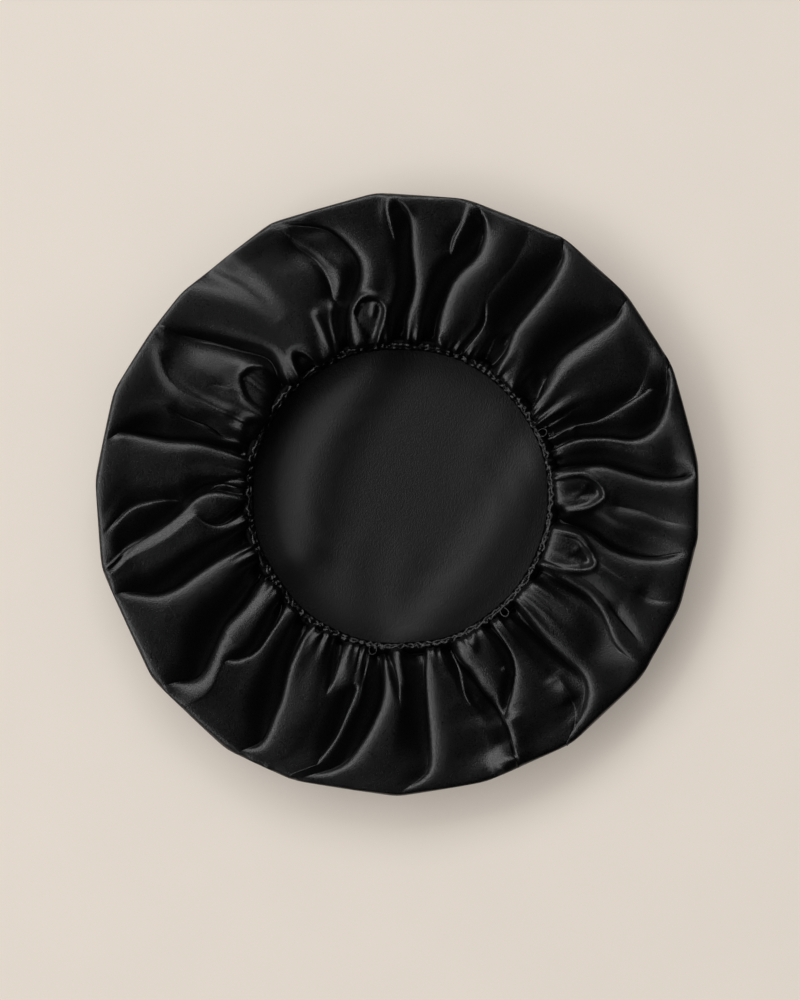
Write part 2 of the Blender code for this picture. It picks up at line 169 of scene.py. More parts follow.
# A short raised fold along a line of (radius, direction). The cloth that it goes round sinks by its hollow.
# One of negative height is a dent, deepest at the line's first point and gone at its last
Ridge = namedtuple("Ridge", "name height width hollow path")
RIDGES = [Ridge(*row) for row in (
    ("H", 1.3, 1.8, 1, ((79, 6), (93, 7.2), (98, 7), (104, 5), (108, 2), (108.5, 0), (108, -1), (104, -2.5),
        (100, -4), (93, -5), (89, -6.5), (79, -8.5))),
    ("H_dent", -2.4, 4.6, 0, ((104, 1), (94, 1.3), (82, 0.5))),
    ("arch_dent", -2.4, 4.6, 0, ((105, 341), (94, 341.5), (82, 340.5))),
    ("H_inner", 0.4, 1.4, 0, ((99.5, 4), (98.5, 2.5), (97, 1), (92, -0.5))),
    ("H_spur", 0.3, 1.2, 0, ((101, -1.5), (96, -0.8))),
    ("arch", 1.3, 1.8, 1, ((79, 346), (91.5, 347.5), (97, 347.6), (101, 346), (105, 344), (109, 342),
        (110.5, 340), (106, 338), (98, 336), (91.5, 335), (85, 334), (79, 333.5))),
    ("arch_inner", 0.4, 1.4, 0, ((99, 345), (98.5, 342), (93, 340.5))),
    ("arch_spike", 0.3, 1.2, 0, ((104, 339), (97, 339.6))),
    ("E_loop", 1.4, 1.9, 0, ((79, 36.5), (92, 38), (97, 39), (101, 41), (100, 43), (96, 43.5), (90, 42.5),
        (79, 40.5))),
    ("D_loop", 1.4, 1.9, 0, ((93, 58.6), (100, 59), (104.7, 58), (104.7, 57), (98.3, 55), (94, 54))),
    ("W_loop", 1.5, 1.9, 2.5, ((101, 104), (108, 101), (106.3, 97), (103.7, 95), (99.4, 93.8), (94, 95),
        (89.3, 97), (85, 99), (79, 99.7))),
    ("W_inner", 1.05, 1.49, 0, ((103.7, 97), (95.7, 98.5))),
    ("U_arch", 0.5, 1.8, 1, ((79, 149), (94, 149), (97, 147.8), (104, 145), (107, 142), (104, 138),
        (97, 135.5), (79, 134.5))),
    ("U_inner", 1, 1.8, 0, ((107, 141.5), (97, 141.3), (84, 141.5))),
    ("V_rib", 1.2, 2.2, 0, ((109, 114.7), (97, 114.7), (84, 114.7))),
    ("V_dent", -6.5, 9, 0, ((158, 130), (150, 128.8), (138, 126.2), (125, 124.8), (112, 124))),
    ("T_dent", -3, 8.5, 0, ((88, 141.5), (108, 141.8), (120, 143.5), (135, 145.5), (150, 148))),
    ("T_line", 1.8, 4, 0, ((152, 146.5), (146, 149), (141, 151.8), (133, 153.5), (117, 154.5), (101, 155),
        (94, 155))),
    ("K_patch", 2.6, 7.5, 0, ((159, 289.5), (155, 291.5), (150, 293.5), (144, 295), (134, 295.5),
        (128, 295.5))),
    ("J_blob", 1.4, 4, 0, ((143, 309), (137, 309.5), (131, 309.7), (125, 310.2))),
    ("V_base", 0.7, 1.8, 3, ((79, 132), (94, 129), (96, 126), (93, 122.5), (79, 120))),
    ("T_loop", 0.7, 1.9, 1, ((79, 158), (86.7, 159), (91.4, 159.5), (94.5, 156), (92, 151), (84, 150))),
    ("K_hook", 1.4, 1.9, 0, ((86, 294.3), (90, 294.6), (92.5, 296), (89, 297.6), (84, 298))),
    ("K_spur", 1.05, 1.62, 0, ((117, 301.2), (106, 300.8))),
    ("N_base", 0.75, 1.62, 2.5, ((82, 241.5), (88, 241), (91, 239), (88, 237), (82, 236.5))),
    ("L_base", 1.2, 2.03, 0, ((104, 272.5), (97, 271.8), (90, 270.8), (85, 268.5), (81, 265))),
    ("B_base", 1.2, 1.76, 0, ((92, 77), (87, 75), (84, 71))),
    ("O_arc", 1.2, 1.76, 0, ((91, 221.5), (86, 220), (81, 218))),
    ("F_ring", 0.9, 1.22, 1.5, ((88, 26.4), (83, 26), (81, 24), (83, 22), (88, 21.6))),
    ("F_line", 0.9, 1.49, 0, ((101, 22.5), (97, 20.5))),
    ("A_head", 1.35, 2.97, 0, ((128, 90.6), (139, 91.6), (149, 92.6), (154, 92.3), (156.5, 91),
        (155.5, 89.2), (151, 88), (143, 87.3))),
    ("B_head", 1.35, 3.24, 0, ((124, 77.6), (133, 78.2), (142, 77.6), (151, 76.8), (156.5, 76), (156, 73.6),
        (151, 72.2), (144, 71.6))),
    ("F_head", 1.05, 3.24, 0, ((139, 16), (145, 20), (151, 22.5), (154, 21.5), (151, 18.5), (145, 16))),
    ("J_head", 0.9, 2.7, 0, ((128, 310.2), (143, 309.5), (150, 308.3), (155, 306.2))),
    ("Q_head", 1.05, 3.51, 0, ((134, 181.4), (143, 182.4), (150, 185.2), (154, 188.5), (153, 192.5),
        (147, 191.6))),
    ("W_head", 1.2, 3.51, 0, ((122, 106.2), (131, 107.6), (140, 110.6), (149, 113.4), (154, 113.2),
        (152.5, 110), (148, 106.6))),
    ("K_ring", 1.05, 2.16, 0, ((101, 287.9), (108, 287.7), (116, 288.3), (121, 289.4), (119, 290.8),
        (110, 290.8), (101, 290.2))),
    ("S_head", 0.5, 3.24, 0, ((124, 158.9), (131, 158.6), (140, 160.5), (149, 164.5), (152, 168.5),
        (146, 167.2))),
)]

# Soft undulations of the crown, each along a line of (x, y)
Wave = namedtuple("Wave", "height width path")
CROWN_WAVES = (
    Wave(4.8, 10.0, ((-4, 82), (-14, 66), (-34, 35), (-42, 14), (-46, -8), (-48, -30))),
    Wave(4.4, 9.0, ((84, 34), (72, 8), (56, -17), (42, -42), (20, -68), (4, -84))),
    Wave(0.9, 9.0, ((56, 40), (46, 22), (44, 4))),
    Wave(0.8, 8.0, ((-24, -30), (-26, -52), (-22, -78))),
    Wave(0.7, 9.0, ((6, -34), (-2, -56), (0, -80))),
)
# The crown's height between them, where they are whole, and the share of what stands higher than
# LIFTING_HEIGHT by which the outer face lifts off the surface
CROWN_LEVEL = 0.3
WHOLE_WAVES = 80.0
LIFTING_HEIGHT = 0.9
LIFTED_SHARE = 0.6

# Small rounded folds: how many round the ring, how high, and the radii where they are whole and gone
Swell = namedtuple("Swell", "count height full gone")
SWELLS = (
    Swell(173, 1.4, 84.0, 93.0),
    Swell(97, 1.3, 84.0, 100.0),
    Swell(61, 1.2, 84.0, 122.0),
    Swell(37, 1.2, 95.0, 156.0),
    Swell(23, 1.0, 150.0, 163.0),
)
# How much further they lean with each mm of radius, in radians, their usual share of their height and how
# much it varies, and the power that rounds them
SWELL_TILT = 0.012
SWELL_USUAL = 0.55
SWELL_SPREAD = 0.45
SWELL_ROUNDNESS = 1.7

# A smooth random wave round the ring: its seed, how many sines it adds up, from which to which count, the
# value in its middle and its size
Noise = namedtuple("Noise", "seed sines low high middle size")
SWELL_BEND = Noise(30, 5, 3, 11, 0.0, 0.9)
SWELL_LEAN = Noise(40, 5, 2, 9, 0.0, 1.0)
SWELL_SIZE = Noise(50, 6, 5, 23, 0.0, 1.0)
BROAD_PUCKERS = Noise(60, 7, 8, 30, 0.0, 0.6)
FINE_PUCKERS = Noise(61, 9, 30, 70, 0.0, 0.4)
CASING_DRIFT = Noise(23, 6, 3, 16, 0.0, 0.3)
CASING_RUCHING = Noise(22, 12, 90, 170, 0.0, 0.12)
CORD_BEND = Noise(70, 7, 9, 50, 0.0, 1.6)
CORD_SWING = Noise(80, 7, 20, 70, 0.6, 0.4)
CORD_LIFT = Noise(90, 7, 30, 110, 0.8, 0.3)

# Wrinkles of the underside, and the stations between which they come and go
PUCKER_HEIGHT = 1.3
PUCKERS_COME = (0.15, 0.7)
PUCKERS_GO = (1.3, 0.9)

# A lip's line: the (step, weight) that soften its turns, the share of its slope that it keeps beyond its
# ends, and how its slant is measured and limited
PATH_SOFTENING = ((-6.0, 1.0), (-3.0, 2.0), (0.0, 3.0), (3.0, 2.0), (6.0, 1.0))
SLOPE_BEYOND = 0.3
SLANT_STEP = 4.0
MOST_SLANT = 1.8
# Along a crease: how far outside its path it starts, how it opens, and how it closes if it ends outside
# SHORT_END
START_BEYOND = 2.0
OPENING_POWER = 0.8
SHORT_END = 86.0
CLOSING = 5.0
# Across a crease: how round its bottom is, the slope at which its lip shines most, and its widths' scale
CREASE_ROUND = 0.4
LIP_SLOPE = 0.42
WIDTH_RADIUS = 130.0
LEAST_WIDTH = 0.6
MOST_WIDTH = 1.1
# Its dark side: towards the rim the valley turns partly into a long step and gets narrower
STEP_START = 46.0
STEP_WHOLE = 2.0
STEP_REACH = 28.0
STEP_POWER = 1.2
STEP_SHARE = 0.35
VALLEY_AT_RIM = 0.35
VALLEY_WHOLE = 32.0
# The broad hollow round it, whole in deep creases, and partly missing on the dark side at the rim
BROAD_DEPTH = 2.6
BROAD_WHOLE = 8.0
BROAD_LIT = 25.0
BROAD_DARK = 30.0
BROAD_LOSS = 0.8
# How far it pulls the cloth under the lip: less if it is shallow or has a soft wall, and near the hem
PULL_PER_EDGE = 0.55
PULL_LEAST = 1.5
PULL_POWER = 1.5
PULL_DEPTH = 5.0
PULL_WALL = 0.45
PULL_WALL_SPAN = 0.2
PULL_AT_HEM = 0.65
PULL_RADII = (88.0, 115.0)

# How high the folds' tops stand over the plain shell, and how deep a crease can be below them
PLATEAU_HEIGHT = 3.0
DEEPEST = 15.0
# Raised folds: how smooth their lines are, where along them they have come and start to go, their reach in
# widths, and how much narrower a dent gets
LINE_ROUNDING = 24
POINTS_PER_LEG = 8
RIDGE_COMES = 0.18
RIDGE_GOES = 0.82
RIDGE_REACH = 4.0
DENT_NARROWING = 0.45
# A hollow's wall, and the share of the swells that is missing in it
HOLLOW_WALL = 3.0
HOLLOW_CALM = 0.9
# The share of the folds' height at the rim, the station where they start, and their loss at the hem
RIM_SHARE = 0.6
FOLDS_START = 0.35
HEM_LOSS = 0.5
HEM_LOSS_START = 2.8
# High folds lean in over the opening, by their height and station
NOSE_LEAN = 5.0
NOSE_HEIGHTS = (-3.0, 3.0)
NOSE_COMES = (2.45, 2.8)
NOSE_GOES = (2.9, HEM)

# The shell's mesh: columns crowd up to the creases, and rows lie closer near the hem. The lining has fewer
# of both
SHELL_COLUMNS = 960
LINING_COLUMNS = 240
FINE_COLUMNS = SHELL_COLUMNS // LINING_COLUMNS
LINING_ROW_STEP = 2
CROWDING = 0.6
UNDER_ROWS = 8
RING_ROWS = 73
ROW_SPACING = ((80, 0.9), (110, 1.1), (160, 1.6))
# The creases are put in order at one radius, and share out the columns by their distances at another
ORDER_RADIUS = 120.0
SHARING_RADIUS = 110.0
EXTRA_WIDTH = 2.5
CROWN_RINGS = (98, 84, 72, 61, 51, 42, 34, 26, 18, 10, 4)
HALVED_RINGS = (72, 42, 18)
OUTSIDE, REVERSE = 0, 1

# The casing: a ruched tube round the elastic, with centre and half sizes as (radius, height), and finer
# over its top and inner side
CASING_COLUMNS = 1300
CASING_CENTRE = (81.4, 16.8)
CASING_HALF = (3.2, 2.2)
CASING_FINE = (20.0, 215.0)
FINE_LINES = 27
COARSE_LINES = 9
# Where round its section it is ruched, and where it has thin edges, by the sine of the direction
RUCHED = (-0.6, 0.4)
EDGED = (-0.35, 0.15)
# The thread-thin edges along its top: each one's radius, how far it wanders and how often
CORD_WIDTH = 0.36
CORD_HEIGHT = 0.45
# How much of a thin edge a face needs to get the shiny satin. The rest of the casing gets the dull copy, as
# painted shade.
CORD_SHINE = 0.25
Cord = namedtuple("Cord", "mm wander count")
CORDS = (Cord(79.2, 0.8, 101), Cord(80.9, 0.9, 83))
# Small loops of the casing's edge, at the feet of some folds, as (direction, radius)
LOOPS = (
    (24.0, 82.6), (5.0, 82.8), (345.5, 82.4), (312.0, 82.8), (297.0, 82.6),
    (260.0, 82.8), (157.0, 82.4), (213.0, 82.8), (68.0, 82.6), (117.0, 82.8),
)
LOOP_RADIUS = 2.2
LOOP_CORD = 0.42
LOOP_HEIGHT = 19.6
LOOP_ALONG = 1.1
LOOP_ACROSS = 0.9
LOOP_LEAN = 0.45
LOOP_COLUMNS = 36
LOOP_SIDES = 8

# The studio, in metres. The floor glows a little, which fills its shadows
FLOOR_HALF = 3.0
FLOOR_COLOUR = (0.72, 0.655, 0.585)
FLOOR_GLOW = 0.24
LIGHT_LEVEL = 1.065
DARK_PATCH = 0.965
LIGHT_PATCH = 1.035
WINDOWS = {"window_left": 200, "window_middle": 148, "window_top": 96}
WINDOW_ELEVATION = 44
WINDOW_DISTANCE = 7.0
WINDOW_SIZE = (4.6, 3.0)
WINDOW_POWER = 165.0
ROOM_COLOUR = (1.0, 0.97, 0.93, 1.0)
ROOM_LIGHT = 0.39
# The camera's height, the height of what it looks at and of the frame there, and the frame's middle in mm
CAMERA_HEIGHT = 3.6
SIGHT_HEIGHT = 0.011
FRAME_HEIGHT = 0.5316
VIEW_CENTRE = (1.33, -2.92)
SENSOR_WIDTH = 36.0
VIEW_DEPTH = 20.0


def smoothstep(low, high, value):
    share = np.clip((value - low) / (high - low), 0.0, 1.0)
    return share * share * (3.0 - 2.0 * share)


def mix(first, second, share):
    return first + (second - first) * share


def faded(away, reach, power=3):
    """What is left of 1 at a distance: nothing beyond reach, and less before it with a higher power."""
    return np.clip(1.0 - away / reach, 0.0, 1.0) ** power


def smooth_path(knots, at):
    """A smooth curve through (position, value) knots without overshoot, and straight beyond its ends."""
    x, y = np.array(sorted(knots), dtype=float).T
    step = np.diff(x)
    rise = np.diff(y) / step
    same = rise[:-1] * rise[1:] > 0
    inner = np.zeros(len(x) - 2)
    inner[same] = 2 * rise[:-1][same] * rise[1:][same] / (rise[:-1][same] + rise[1:][same])
    slope = np.concatenate((rise[:1], inner, rise[-1:]))
    index = np.clip(np.searchsorted(x, at) - 1, 0, len(step) - 1)
    h = step[index]
    t = np.clip((at - x[index]) / h, 0.0, 1.0)
    value = (
        (2 * t**3 - 3 * t**2 + 1) * y[index]
        + (t**3 - 2 * t**2 + t) * h * slope[index]
        + (3 * t**2 - 2 * t**3) * y[index + 1]
        + (t**3 - t**2) * h * slope[index + 1]
    )
    before, after = np.minimum(at - x[0], 0.0), np.maximum(at - x[-1], 0.0)
    return value + before * slope[0] * SLOPE_BEYOND + after * slope[-1] * SLOPE_BEYOND


def smooth_line(path):
    """Points along a smooth curve past a path's points, with its turns rounded."""
    marks = np.arange(len(path))
    fine = np.linspace(0, len(path) - 1, POINTS_PER_LEG * (len(path) - 1) + 1)
    line = np.stack([np.interp(fine, marks, np.array(path)[:, axis]) for axis in (0, 1)], axis=-1)
    for _ in range(LINE_ROUNDING):
        line[1:-1] = (line[:-2] + 2.0 * line[1:-1] + line[2:]) / 4.0
    return line


def enclosed(line, x, y):
    """Which points lie inside a line of points closed by a straight edge."""
    inside = np.zeros(np.shape(x), dtype=bool)
    for start, end in zip(line, np.roll(line, -1, axis=0)):
        crossed = (start[1] > y) != (end[1] > y)
        edge = start[0] + (y - start[1]) / (end[1] - start[1] + 1e-12) * (end[0] - start[0])
        inside ^= crossed & (x < edge)
    return inside


def distance_to(line, x, y):
    """How far each point lies from a line of points, and at which share of the line's way it is nearest."""
    nearest = np.full(np.shape(x), np.inf)
    place = np.zeros(np.shape(x))
    for index, (start, end) in enumerate(zip(line, line[1:])):
        leg = end - start
        along = np.clip(((x - start[0]) * leg[0] + (y - start[1]) * leg[1]) / (leg @ leg), 0.0, 1.0)
        away = np.hypot(x - start[0] - along * leg[0], y - start[1] - along * leg[1])
        closer = away < nearest
        nearest = np.where(closer, away, nearest)
        place = np.where(closer, (index + along) / (len(line) - 1), place)
    return nearest, place


def ring_noise(turn, noise, nth=0):
    """The value of a random wave at each turn. nth picks one of the waves of the same kind."""
    rng = np.random.default_rng(noise.seed + nth)
    counts = rng.integers(noise.low, noise.high, noise.sines)
    phases = rng.uniform(0, tau, noise.sines)
    sizes = rng.uniform(0.4, 1.0, noise.sines)
    total = sum(size * np.sin(count * turn + phase) for count, phase, size in zip(counts, phases, sizes))
    return noise.middle + noise.size * (total / np.sqrt((sizes**2).sum() / 2))


def turned_by(deg, from_deg):
    """How far deg lies counter-clockwise of from_deg, between -180 and 180."""
    return (deg - from_deg + 180.0) % 360.0 - 180.0


def plain_profile(station):
    """The ungathered shell's radius and height at each station."""
    under = np.clip(station, 0, 1) * pi / 2
    over = (np.clip(station, 1, 2) - 1) * pi / 2
    inward = np.sin((np.clip(station, 2, 3) - 2) * HEM_ARC) / sin(HEM_ARC)
    parts = (station <= RIM, station <= PUFF)
    rim_radius = mix(PUFF_RADIUS, RIM_RADIUS, np.clip(np.cos(over), 0.0, 1.0) ** RIM_ROUNDNESS)
    rim_height = mix(RIM_HEIGHT, PUFF_HEIGHT, np.sin(over) ** RIM_ROUNDNESS)
    hem_height = mix(PUFF_HEIGHT, HEM_HEIGHT, inward**HEM_SQUARENESS)
    radius = (mix(CROWN_RADIUS, RIM_RADIUS, np.sin(under)), rim_radius)
    height = (RIM_HEIGHT * (1 - np.cos(under)), rim_height)
    hem_radius = mix(PUFF_RADIUS, HEM_RADIUS, inward)
    return np.select(parts, radius, hem_radius), np.select(parts, height, hem_height)


def rim_polygon(deg):
    """The outline's radius in each direction, between a circle's arc and the chord from corner to corner."""
    first_deg, first_radius = RIM_CORNERS[0]
    angles, radii = np.array((*RIM_CORNERS, (first_deg + 360.0, first_radius))).T
    deg = (deg - angles[0]) % 360 + angles[0]
    index = np.clip(np.searchsorted(angles, deg, side="right") - 1, 0, len(RIM_CORNERS) - 1)
    span = np.radians(angles[index + 1] - angles[index])
    past = np.radians(deg - angles[index])
    start, end = radii[index], radii[index + 1]
    chord = start * end * np.sin(span) / (start * np.sin(past) + end * np.sin(span - past))
    arc = mix(start, end, past / span)
    return mix(arc, chord, CHORD_SHARE)


def rim_outline(deg):
    """The outline with its corners rounded off, by a weighted mean of the directions beside each one."""
    spread = np.linspace(-2.0, 2.0, 9)
    offsets = spread * CORNER_SOFTNESS
    weights = np.exp(-(spread**2) / 2)
    total = sum(weight * rim_polygon(deg + offset) for weight, offset in zip(weights, offsets))
    return total / weights.sum()


def lit_side(crease, away):
    """What is left of a crease's depth on the side of its lit lip: a wall with a rounded top."""
    return mix(faded(away, crease.lit, 2), faded(away, crease.edge), crease.wall)


def dark_side(crease, away, mm, by_rim):
    """What is left of it on the other side: a valley, which turns partly into a long step by the rim."""
    outer = crease.path[0][0]
    widening = smoothstep(outer + START_BEYOND, outer - VALLEY_WHOLE, mm)
    valley = faded(away, crease.dark * mix(VALLEY_AT_RIM, 1.0, widening))
    return mix(valley, faded(away, STEP_REACH, STEP_POWER), by_rim * STEP_SHARE)


def lip_offset(crease):
    """How far the lip, where the slope shines most, lies from the crease."""
    away = np.linspace(0.0, crease.lit, 400)
    slope = -np.gradient(crease.depth * lit_side(crease, away), away)
    return away[np.argmax(slope < LIP_SLOPE)]


def width_scale(mm):
    """Folds are narrower near the hem."""
    return np.clip(mm / WIDTH_RADIUS, LEAST_WIDTH, MOST_WIDTH)


def crease_share(crease, mm):
    """How much of its depth a crease has at a radius: it opens from nothing inside the rim."""
    start, end = crease.path[0][0] + START_BEYOND, crease.path[-1][0]
    share = smoothstep(start, start - crease.opening, mm) ** OPENING_POWER
    if end > SHORT_END:
        share = share * smoothstep(end - CLOSING, end + CLOSING, mm)
    return share


def crease_line(crease, mm):
    """The direction of the crease's lip at each radius, with the turns of its path softened."""
    total = sum(weight * smooth_path(crease.path, mm + step) for step, weight in PATH_SOFTENING)
    return total / sum(weight for _, weight in PATH_SOFTENING)


def crease_slant(crease, mm):
    """How much longer the lip's line is than a radius, because it slants."""
    ends = crease_line(crease, mm + SLANT_STEP) - crease_line(crease, mm - SLANT_STEP)
    turned = ends / (2 * SLANT_STEP)
    return np.minimum(np.sqrt(1.0 + (turned * np.radians(mm)) ** 2), MOST_SLANT)


def crease_direction(crease, mm):
    """The direction of the crease itself, beside its lip."""
    offset = lip_offset(crease) * width_scale(mm) * np.sqrt(crease_share(crease, mm))
    offset = offset * crease_slant(crease, mm)
    return crease_line(crease, mm) + crease.light * np.degrees(offset / mm)


def crease_cut(crease, deg, mm):
    """How deep one crease cuts into the plain shell, and how far it pulls the cloth under its lip, in mm."""
    share, scale, slant = crease_share(crease, mm), width_scale(mm), crease_slant(crease, mm)
    past = np.radians(turned_by(deg, crease_direction(crease, mm))) * mm / slant * crease.light
    away = (np.sqrt(past**2 + CREASE_ROUND**2) - CREASE_ROUND) / scale
    by_lip = past < 0
    outer = crease.path[0][0]
    by_rim = smoothstep(outer - STEP_START, outer - STEP_WHOLE, mm)
    left = np.where(by_lip, lit_side(crease, away), dark_side(crease, away, mm, by_rim))
    broad = faded(away, np.where(by_lip, BROAD_LIT, BROAD_DARK)) * BROAD_DEPTH
    broad = broad * min(1.0, crease.depth / BROAD_WHOLE) * np.where(by_lip, 1.0, 1.0 - BROAD_LOSS * by_rim)
    pull = crease.light * (PULL_PER_EDGE * crease.edge + PULL_LEAST) * scale * share
    pull = pull * min(1.0, crease.depth / PULL_DEPTH) * left**PULL_POWER
    pull = pull * min(1.0, max(0.0, crease.wall - PULL_WALL) / PULL_WALL_SPAN)
    pull = pull * mix(PULL_AT_HEM, 1.0, smoothstep(*PULL_RADII, mm))
    return (crease.depth * left + broad) * share, pull * slant


def ridge_height(ridge, deg, mm):
    """A raised fold along a smooth line, fading out at both ends, and the hollow inside it."""
    radius, turn = smooth_line(ridge.path).T
    turn = np.radians(turn)
    line = np.stack((radius * np.cos(turn), radius * np.sin(turn)), axis=-1)
    x, y = mm * np.cos(np.radians(deg)), mm * np.sin(np.radians(deg))
    reach = RIDGE_REACH * ridge.width
    near = (x > line[:, 0].min() - reach) & (x < line[:, 0].max() + reach)
    near &= (y > line[:, 1].min() - reach) & (y < line[:, 1].max() + reach)
    away, place = distance_to(line, x[near], y[near])
    if ridge.height < 0:
        fade = 1.0 - place
        width = ridge.width * (1.0 - DENT_NARROWING * place)
    else:
        fade = smoothstep(0.0, RIDGE_COMES, place) * smoothstep(1.0, RIDGE_GOES, place)
        width = ridge.width
    height = np.zeros_like(mm)
    hollow = np.zeros_like(mm)
    height[near] = ridge.height * fade * np.exp(-((away / width) ** 2))
    if ridge.hollow:
        hollow[near] = enclosed(line, x[near], y[near]) * smoothstep(0.0, HOLLOW_WALL, away)
    return height - ridge.hollow * hollow, hollow


def swells(flow, mm):
    """Small rounded folds that follow the creases. flow is the share of the way round the ring."""
    turn = flow * tau
    height = np.zeros_like(mm)
    for nth, swell in enumerate(SWELLS):
        lean = SWELL_TILT * mm * ring_noise(turn, SWELL_LEAN, nth)
        bend = ring_noise(turn, SWELL_BEND, nth) + lean
        size = SWELL_USUAL + SWELL_SPREAD * np.clip(ring_noise(turn, SWELL_SIZE, nth), -1.0, 1.0)
        shape = np.abs(np.sin(0.5 * swell.count * turn + bend)) ** SWELL_ROUNDNESS - 0.5
        height += swell.height * size * shape * smoothstep(swell.gone, swell.full, mm)
    return height


def belly_puckers(flow, station):
    """Soft radial wrinkles of the cloth between the crown's edge and the rim, in mm of height."""
    turn = flow * tau
    wrinkle = ring_noise(turn, BROAD_PUCKERS) + ring_noise(turn, FINE_PUCKERS)
    return PUCKER_HEIGHT * wrinkle * smoothstep(*PUCKERS_COME, station) * smoothstep(*PUCKERS_GO, station)


def relief(deg, mm, flow):
    """The height of all folds over the plain shell, and how far they shift the cloth clockwise, in mm."""
    cut = np.zeros_like(deg)
    shift = np.zeros_like(deg)
    for crease in CREASES:
        depth, pull = crease_cut(crease, deg, mm)
        cut += depth
        shift += pull
    height = PLATEAU_HEIGHT - DEEPEST * np.tanh(cut / DEEPEST)
    calm = np.ones_like(deg)
    for ridge in RIDGES:
        raised, hollow = ridge_height(ridge, deg, mm)
        height += raised
        calm *= 1.0 - HOLLOW_CALM * hollow
    return height + swells(flow, mm) * calm, shift


def fold_share(station, height):
    """How much of the folds' height there is: less at the rim and the hem than over the puff."""
    over_rim = mix(RIM_SHARE, 1.0, np.clip((height - RIM_HEIGHT) / (PUFF_HEIGHT - RIM_HEIGHT), 0.0, 1.0))
    under_rim = RIM_SHARE * smoothstep(FOLDS_START, RIM, station)
    share = np.select((station < RIM, station < PUFF), (under_rim, over_rim), 1.0)
    return share * (1 - HEM_LOSS * smoothstep(HEM_LOSS_START, HEM, station))


def shell_surface(deg, station):
    """Points of the shell's outer face, for a grid of directions and stations."""
    radius, height = plain_profile(station)
    near_rim = smoothstep(0.0, RIM, station) * (1 - smoothstep(RIM, PUFF, station))
    radius = radius * mix(1.0, rim_outline(deg) / RIM_RADIUS, near_rim)
    flow = np.broadcast_to(np.arange(deg.shape[1]) / deg.shape[1], deg.shape)
    folded, shift = relief(deg, radius, flow)
    share = fold_share(station, height)
    folded = folded * share
    nose = smoothstep(*NOSE_HEIGHTS, folded) * smoothstep(*NOSE_COMES, station)
    nose = nose * (1 - smoothstep(*NOSE_GOES, station))
    turn = np.radians(deg) - shift * share / radius
    radius = radius - NOSE_LEAN * nose
    height = height + folded + belly_puckers(flow, station)
    moved = smoothstep(RIM, HEM, station)
    x = radius * np.cos(turn) + OPENING_SHIFT[0] * moved
    y = radius * np.sin(turn) + OPENING_SHIFT[1] * moved
    return np.stack((x, y, height), axis=-1)


def ring_stations():
    """Stations from the crown's edge to the hem, closer together towards the hem."""
    under = np.linspace(0.0, RIM, UNDER_ROWS + 1)[:-1]
    fine = np.linspace(RIM, HEM, 2000)
    radius, height = plain_profile(fine)
    step = np.hypot(np.diff(radius), np.diff(height)) / smooth_path(ROW_SPACING, radius[1:])
    way = np.concatenate(([0.0], np.cumsum(step)))
    return np.concatenate((under, np.interp(np.linspace(0.0, way[-1], RING_ROWS), way, fine)))


def fold_lines(radius):
    """The direction of each crease at each radius, in order. Short ones hold their place past their ends."""
    middle = np.array([ORDER_RADIUS])
    main = sorted((c for c in CREASES if c.main), key=lambda c: crease_direction(c, middle)[0] % 360)
    lines = [crease_direction(c, radius) - 360.0 * (crease_direction(c, middle)[0] // 360) for c in main]
    slots = [[] for _ in main]
    main.append(main[0])
    lines.append(lines[0] + 360.0)
    for crease in CREASES:
        if crease.main:
            continue
        at = np.array([0.5 * (crease.path[0][0] + crease.path[-1][0])])
        starts = np.array([crease_direction(c, at)[0] for c in main])
        gaps = (crease_direction(crease, at)[0] - starts) % 360.0
        slot = int(np.argmin(gaps))
        slots[slot].append((gaps[slot] / ((starts[slot + 1] - starts[slot]) % 360.0), crease))
    ordered = []
    for slot, inside in enumerate(slots):
        ordered.append(lines[slot])
        for _, crease in sorted(inside, key=lambda item: item[0]):
            held = np.clip(radius, crease.path[-1][0], crease.path[0][0])
            before = crease_direction(main[slot], held)
            width = turned_by(crease_direction(main[slot + 1], held), before)
            share = turned_by(crease_direction(crease, held), before) / width
            ordered.append(mix(lines[slot], lines[slot + 1], np.clip(share, 0.0, 1.0)))
    return np.maximum.accumulate(np.array(ordered), axis=0)


def column_directions(stations):
    """The direction of each column at each station. Columns run along the creases and crowd up to them."""
    radius, _ = plain_profile(stations)
    radius = np.where(stations < RIM, RIM_RADIUS, radius)
    lines = list(fold_lines(radius))
    lines.append(lines[0] + 360.0)
    row = int(np.argmin(np.abs(radius - SHARING_RADIUS)))
    widths = np.array([after[row] - before[row] for before, after in zip(lines, lines[1:])]) + EXTRA_WIDTH
    ends = np.concatenate(([0.0], np.cumsum(widths))) / widths.sum() * LINING_COLUMNS
    ends = np.round(ends).astype(int) * FINE_COLUMNS
    deg = np.empty((len(stations), SHELL_COLUMNS))
    for before, after, start, end in zip(lines, lines[1:], ends, ends[1:]):
        share = np.arange(end - start) / (end - start)
        share = mix(share, smoothstep(0.0, 1.0, share), CROWDING)
        deg[:, start:end] = mix(before[:, None], after[:, None], share[None, :])
    even = deg[-1, 0] + np.arange(SHELL_COLUMNS) * 360.0 / SHELL_COLUMNS
    return mix(even[None, :], deg, smoothstep(0.0, RIM, stations)[:, None])


def crown_height(x, y):
    """Soft undulations of the crown, in mm over the surface that it lies on."""
    height = np.full(np.shape(x), CROWN_LEVEL)
    for wave in CROWN_WAVES:
        away, _ = distance_to(smooth_line(wave.path), x, y)
        height = height + wave.height * np.exp(-((away / wave.width) ** 2))
    return height * smoothstep(CROWN_RADIUS, WHOLE_WAVES, np.hypot(x, y))


def crown_outside(x, y):
    """The crown's outer face, which lifts off the surface a little under the highest waves."""
    return np.maximum(crown_height(x, y) - LIFTING_HEIGHT, 0.0) * LIFTED_SHARE


def crown_inside(x, y):
    return crown_height(x, y) + CLOTH_THICKNESS


